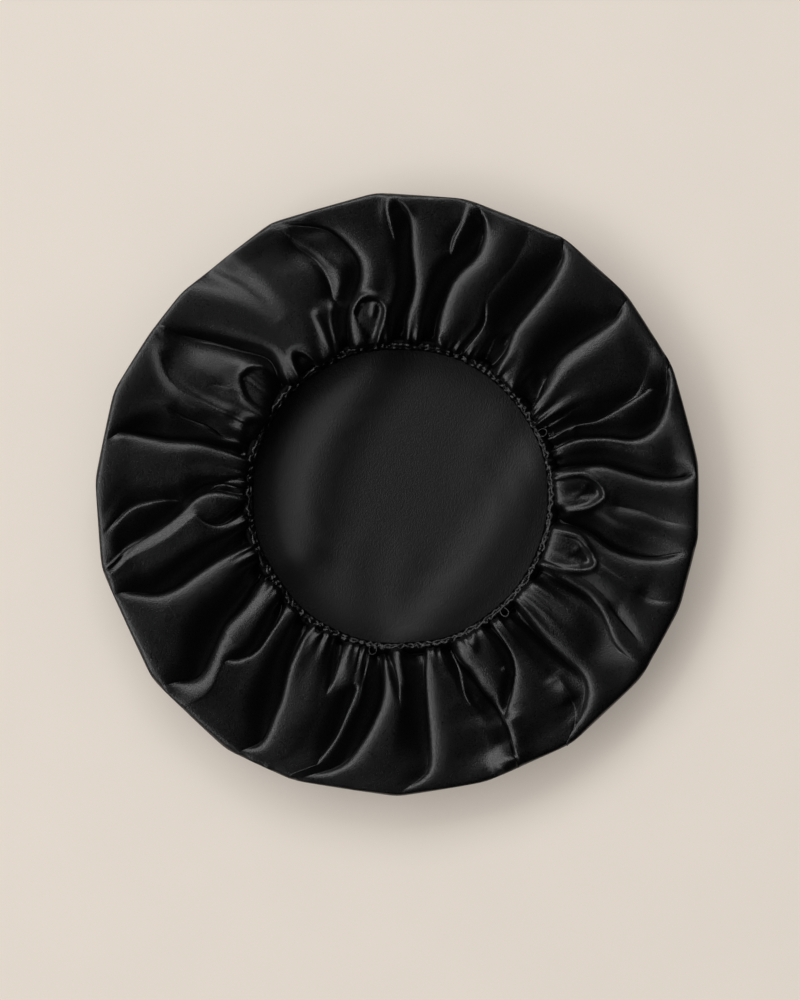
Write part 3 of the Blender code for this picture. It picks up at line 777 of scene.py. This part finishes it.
def grid_faces(rows, columns, first):
    """Quads between neighbouring rows of a ring of points."""
    row = np.arange(rows - 1)[:, None] * columns + first
    col = np.arange(columns)[None, :]
    after = (col + 1) % columns
    below = row + columns
    return np.stack((row + col, row + after, below + after, below + col), axis=-1).reshape(-1, 4)


def tube_faces(columns, around, first):
    """Quads of a tube that closes on itself, column by column of points around it."""
    c = np.arange(columns)[:, None]
    k = np.arange(around)[None, :]
    cn, kn = (c + 1) % columns, (k + 1) % around
    corners = (c * around + k, cn * around + k, cn * around + kn, c * around + kn)
    return np.stack(corners, axis=-1).reshape(-1, 4) + first


def add_object(name, data):
    obj = bpy.data.objects.new(name, data)
    bpy.context.scene.collection.objects.link(obj)
    return obj


class Skin:
    """The points and faces of a closed surface, put together part by part, and the material of each face."""

    def __init__(self):
        self.points, self.faces, self.kinds = [], [], []

    def add_points(self, points):
        """Adds points in mm and gives the number of the first."""
        first = sum(len(part) for part in self.points)
        self.points.append(points.reshape(-1, 3))
        return first

    def add_faces(self, faces, kind, flip=False):
        """Adds faces with as many corners each. kind is one material for all of them, or one for each."""
        faces = np.asarray(faces)
        self.faces.extend((faces[:, ::-1] if flip else faces).tolist())
        self.kinds.append(np.broadcast_to(kind, len(faces)))

    def make_object(self, name, materials):
        mesh = bpy.data.meshes.new(name)
        mesh.from_pydata((np.concatenate(self.points) * MM).tolist(), [], self.faces)
        for material in materials:
            mesh.materials.append(material)
        mesh.polygons.foreach_set("material_index", np.concatenate(self.kinds).astype(np.int32))
        mesh.shade_smooth()
        mesh.update()
        return add_object(name, mesh)


def fill_crown(skin, edge, columns, turn, level, kind, flip=False):
    """Fills the crown from its edge ring to the middle, ring by ring, halving the columns on the way."""
    previous, count = edge, columns
    for radius in CROWN_RINGS:
        halve = radius in HALVED_RINGS
        new_count = count // 2 if halve else count
        angle = turn + np.arange(new_count) * tau / new_count
        x, y = radius * np.cos(angle), radius * np.sin(angle)
        first = skin.add_points(np.stack((x, y, level(x, y)), axis=-1))
        c = np.arange(new_count)
        here, after = first + c, first + (c + 1) % new_count
        if halve:
            a, b, d = previous + 2 * c, previous + 2 * c + 1, previous + (2 * c + 2) % count
            new = np.stack((a, b, here, b, after, here, b, d, after), axis=-1).reshape(-1, 3)
        else:
            new = np.stack((previous + c, previous + (c + 1) % count, after, here), axis=-1)
        skin.add_faces(new, kind, flip)
        previous, count = first, new_count
    centre = skin.add_points(np.array([[0.0, 0.0, level(np.zeros(1), np.zeros(1))[0]]]))
    c = np.arange(count)
    fan = np.stack((previous + c, previous + (c + 1) % count, np.full(count, centre)), axis=-1)
    skin.add_faces(fan, kind, flip)


def moved_in(outer):
    """The outer face's points moved in by the cloth's thickness."""
    along = np.gradient(outer, axis=0)
    around = np.roll(outer, -1, axis=1) - np.roll(outer, 1, axis=1)
    normal = np.cross(around, along)
    normal /= np.linalg.norm(normal, axis=-1, keepdims=True) + 1e-9
    return outer - CLOTH_THICKNESS * normal


def join_hem(skin, outer_hem, lining_hem):
    """The hem's edge, which joins the outer face to the lining and its fewer columns."""
    faces = []
    half = FINE_COLUMNS // 2
    for c in range(LINING_COLUMNS):
        near, far = lining_hem + c, lining_hem + (c + 1) % LINING_COLUMNS
        fine = [outer_hem + (c * FINE_COLUMNS + k) % SHELL_COLUMNS for k in range(FINE_COLUMNS + 1)]
        faces += [[fine[k], fine[k + 1], near] for k in range(half)]
        faces.append([fine[half], far, near])
        faces += [[fine[k], fine[k + 1], far] for k in range(half, FINE_COLUMNS)]
    skin.add_faces(faces, OUTSIDE)


def make_shell(outer_material, inner_material):
    """The whole disc of satin as one closed solid: outer face, hem and lining, each face with its crown."""
    skin = Skin()
    stations = ring_stations()
    columns = column_directions(stations)
    turn = np.radians(columns[0, 0])
    outer = shell_surface(*np.broadcast_arrays(columns, stations[:, None]))
    outer_first = skin.add_points(outer)
    skin.add_faces(grid_faces(len(outer), SHELL_COLUMNS, outer_first), OUTSIDE)
    fill_crown(skin, outer_first, SHELL_COLUMNS, turn, crown_outside, OUTSIDE, flip=True)
    lining = moved_in(outer)[::LINING_ROW_STEP, ::FINE_COLUMNS]
    lining_first = skin.add_points(lining)
    skin.add_faces(grid_faces(len(lining), LINING_COLUMNS, lining_first), REVERSE, flip=True)
    fill_crown(skin, lining_first, LINING_COLUMNS, turn, crown_inside, REVERSE)
    outer_hem = outer_first + (len(outer) - 1) * SHELL_COLUMNS
    lining_hem = lining_first + (len(lining) - 1) * LINING_COLUMNS
    join_hem(skin, outer_hem, lining_hem)
    return skin.make_object("satin_shell_cloth", (outer_material, inner_material))


def casing_section():
    """Directions round the tube's section, close together over its top and its inner side."""
    start, end = CASING_FINE
    fine = np.radians(np.linspace(start, end, FINE_LINES))
    coarse = np.radians(np.linspace(end, start + 360.0, COARSE_LINES))[1:-1]
    return np.concatenate((fine, coarse))


def casing_tube():
    """The ruched tube's points, and how much of a thin edge there is at each of them."""
    turn = np.arange(CASING_COLUMNS) * tau / CASING_COLUMNS
    t, s = np.meshgrid(turn, casing_section(), indexing="ij")
    drift = ring_noise(turn, CASING_DRIFT)[:, None]
    ruching = ring_noise(turn, CASING_RUCHING)[:, None] * smoothstep(*RUCHED, np.sin(s))
    radius = CASING_CENTRE[0] + (CASING_HALF[0] + ruching) * np.cos(s)
    height = CASING_CENTRE[1] + (CASING_HALF[1] + ruching) * np.sin(s)
    raised = np.zeros_like(t)
    for nth, cord in enumerate(CORDS):
        wave = np.sin(cord.count * turn + ring_noise(turn, CORD_BEND, nth))
        line = cord.mm + cord.wander * ring_noise(turn, CORD_SWING, nth) * wave
        lift = ring_noise(turn, CORD_LIFT, nth)
        raised = np.maximum(raised, lift[:, None] * np.exp(-(((radius - line[:, None]) / CORD_WIDTH) ** 2)))
    top = smoothstep(*EDGED, np.sin(s))
    height = height + CORD_HEIGHT * raised * top
    radius = radius + drift
    x, y = radius * np.cos(t) + OPENING_SHIFT[0], radius * np.sin(t) + OPENING_SHIFT[1]
    return np.stack((x, y, height), axis=-1), raised * top


def loop_points(deg, mm):
    """A small upright loop of cord, leaning outwards."""
    ring_turn = np.arange(LOOP_COLUMNS) * tau / LOOP_COLUMNS
    cord_turn = np.arange(LOOP_SIDES) * tau / LOOP_SIDES
    ring, cord = np.meshgrid(ring_turn, cord_turn, indexing="ij")
    out = mm + (LOOP_RADIUS + LOOP_CORD * np.cos(cord)) * np.cos(ring) * LOOP_ALONG
    side = (LOOP_RADIUS + LOOP_CORD * np.cos(cord)) * np.sin(ring) * LOOP_ACROSS
    up = LOOP_HEIGHT + LOOP_CORD * np.sin(cord) + LOOP_LEAN * (out - mm)
    turn = radians(deg)
    x = out * cos(turn) - side * sin(turn) + OPENING_SHIFT[0]
    y = out * sin(turn) + side * cos(turn) + OPENING_SHIFT[1]
    return np.stack((x, y, up), axis=-1)


def make_casing(shaded_satin, edge):
    """The casing with its loops. shaded_satin is its material: the satin with its shine nearly off, which
    paints the shade of the ruching. edge is the shiny satin of the thin edges and the loops.
    """
    skin = Skin()
    tube, raised = casing_tube()
    faces = tube_faces(*raised.shape, skin.add_points(tube))
    # Faces on a thin edge get the shiny satin. All the others get the satin with its shine nearly off, as
    # painted shade.
    skin.add_faces(faces, (raised > CORD_SHINE).reshape(-1)[faces].any(axis=1), flip=True)
    for deg, mm in LOOPS:
        first = skin.add_points(loop_points(deg, mm))
        skin.add_faces(tube_faces(LOOP_COLUMNS, LOOP_SIDES, first), 1, flip=True)
    return skin.make_object("elastic_casing_cloth", (shaded_satin, edge))


class Surface:
    """A material with one shader, whose nodes are added and joined by short calls."""

    def __init__(self, name):
        self.material = bpy.data.materials.new(name)
        self.material.use_nodes = True
        self.tree = self.material.node_tree
        self.where = self.add("ShaderNodeTexCoord").outputs["Object"]

    def fill(self, node, inputs):
        for key, value in inputs.items():
            if isinstance(value, bpy.types.NodeSocket):
                self.tree.links.new(value, node.inputs[key])
            else:
                node.inputs[key].default_value = value

    def add(self, kind, inputs=None, **settings):
        node = self.tree.nodes.new(kind)
        for key, value in settings.items():
            setattr(node, key, value)
        self.fill(node, inputs or {})
        return node

    def stretched(self, scale, turn):
        """Coordinates with their own scale along each axis, turned by some degrees."""
        rotation = (0.0, 0.0, radians(turn))
        inputs = {"Vector": self.where, "Scale": scale, "Rotation": rotation}
        return self.add("ShaderNodeMapping", inputs).outputs["Vector"]

    def noise(self, vector, **inputs):
        return self.add("ShaderNodeTexNoise", {"Vector": vector, **inputs}).outputs["Fac"]

    def between(self, share, first, second):
        """A colour between two others."""
        return self.add("ShaderNodeMixRGB", {"Fac": share, "Color1": first, "Color2": second}).outputs[0]

    def bump(self, height, strength, metres, **inputs):
        inputs = {"Height": height, "Strength": strength, "Distance": metres, **inputs}
        return self.add("ShaderNodeBump", inputs).outputs["Normal"]

    def shade(self, inputs):
        """Fills the shader's inputs and gives the finished material."""
        self.fill(self.tree.nodes["Principled BSDF"], inputs)
        return self.material


def satin_material(name, shine):
    """Near-black satin, with a fine grain of slanting threads that shine unevenly."""
    surface = Surface(name)
    threads = surface.stretched((2000.0, 1500.0, 1800.0), 28)
    grain = surface.noise(threads, Scale=1.0, Detail=2.0)
    cloud = surface.noise(surface.where, Scale=55.0, Detail=3.0)
    glint = surface.noise(threads, Scale=1.0, Detail=1.0)
    dull = {"Value": glint, "From Min": 0.35, "From Max": 0.65, "To Min": 0.27, "To Max": 0.38}
    return surface.shade({
        "Base Color": (0.001, 0.001, 0.0012, 1.0),
        "Specular IOR Level": shine,
        "Roughness": surface.add("ShaderNodeMapRange", dull).outputs["Result"],
        "Normal": surface.bump(cloud, 0.2, 0.0006, Normal=surface.bump(grain, 0.8, 0.0002)),
    })


def reverse_material():
    """The satin's matt reverse: dark grey, with the fine upright lines of its weave."""
    surface = Surface("satin_reverse")
    grain = surface.noise(surface.stretched((1900.0, 900.0, 260.0), -8), Scale=1.0, Detail=2.0)
    return surface.shade({
        "Base Color": surface.between(grain, (0.003, 0.003, 0.0033, 1), (0.0078, 0.0078, 0.0083, 1)),
        "Specular IOR Level": 0.35,
        "Roughness": 0.5,
        "Normal": surface.bump(grain, 0.9, 0.0003),
    })


def elastic_material():
    """Matt black braid."""
    surface = Surface("braided_elastic")
    braid = {"Vector": surface.where, "Scale": 900.0, "Distortion": 2.0}
    height = surface.add("ShaderNodeTexWave", braid, bands_direction="DIAGONAL").outputs["Fac"]
    return surface.shade({
        "Base Color": (0.02, 0.02, 0.021, 1.0),
        "Roughness": 0.8,
        "Normal": surface.bump(height, 0.5, 0.0002),
    })


def floor_tone(share):
    """The floor's colour, a little lighter or darker. Its glow gives the rest of it."""
    return tuple(channel * share * (1.0 - FLOOR_GLOW) for channel in FLOOR_COLOUR) + (1.0,)


def floor_material():
    """Pale plaster with faint clouds and specks."""
    surface = Surface("floor_plaster")
    cloud = surface.noise(surface.where, Scale=14.0, Detail=6.0, Roughness=0.6)
    speck = surface.noise(surface.where, Scale=420.0, Detail=3.0)
    return surface.shade({
        "Base Color": surface.between(cloud, floor_tone(DARK_PATCH), floor_tone(LIGHT_PATCH)),
        "Roughness": 0.85,
        "Normal": surface.bump(speck, 0.12, 0.0004),
        "Emission Color": (*FLOOR_COLOUR, 1.0),
        "Emission Strength": FLOOR_GLOW * LIGHT_LEVEL,
    })


def make_floor():
    corners = [(x * FLOOR_HALF, y * FLOOR_HALF, 0) for x, y in ((-1, -1), (1, -1), (1, 1), (-1, 1))]
    mesh = bpy.data.meshes.new("floor")
    mesh.from_pydata(corners, [], [(0, 1, 2, 3)])
    floor = add_object("floor", mesh)
    mesh.materials.append(floor_material())


def make_window(name, azimuth):
    """A soft area light at a distance from the middle of the part, facing it."""
    data = bpy.data.lights.new(name, "AREA")
    data.shape = "RECTANGLE"
    data.size, data.size_y = WINDOW_SIZE
    data.energy = WINDOW_POWER
    light = add_object(name, data)
    az, el = radians(azimuth), radians(WINDOW_ELEVATION)
    direction = Vector((cos(az) * cos(el), sin(az) * cos(el), sin(el)))
    light.location = direction * WINDOW_DISTANCE
    light.rotation_euler = direction.to_track_quat("Z", "Y").to_euler()


def make_world():
    """The room's even light, which the satin doesn't mirror."""
    world = bpy.data.worlds.new("studio")
    bpy.context.scene.world = world
    world.use_nodes = True
    background = world.node_tree.nodes["Background"]
    background.inputs["Color"].default_value = ROOM_COLOUR
    background.inputs["Strength"].default_value = ROOM_LIGHT
    world.cycles_visibility.glossy = False


def make_camera():
    """A camera that looks straight down, with the lens that fills the frame's height at its distance."""
    data = bpy.data.cameras.new("camera")
    data.sensor_width = SENSOR_WIDTH
    data.lens = SENSOR_WIDTH * (CAMERA_HEIGHT - SIGHT_HEIGHT) / FRAME_HEIGHT
    data.clip_end = VIEW_DEPTH
    camera = add_object("camera", data)
    camera.location = (VIEW_CENTRE[0] * MM, VIEW_CENTRE[1] * MM, CAMERA_HEIGHT)
    bpy.context.scene.camera = camera


def main():
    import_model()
    make_camera()
    make_floor()
    make_world()
    for name, azimuth in WINDOWS.items():
        make_window(name, azimuth)
    bpy.context.scene.view_settings.view_transform = "Standard"

    shell = make_shell(satin_material("satin_outside", shine=0.58), reverse_material())
    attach(shell, "root")
    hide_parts("satin_shell")
    # The casing's satin with its shine nearly off: painted shade in its ruching, which only the thin edges
    # and the loops escape.
    shaded_satin = satin_material("satin_painted_shade", shine=0.03)
    casing = make_casing(shaded_satin, satin_material("satin_casing", shine=0.5))
    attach(casing, "root")
    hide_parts("elastic_casing")
    bpy.data.objects["elastic"].data.materials[0] = elastic_material()
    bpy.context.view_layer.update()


main()
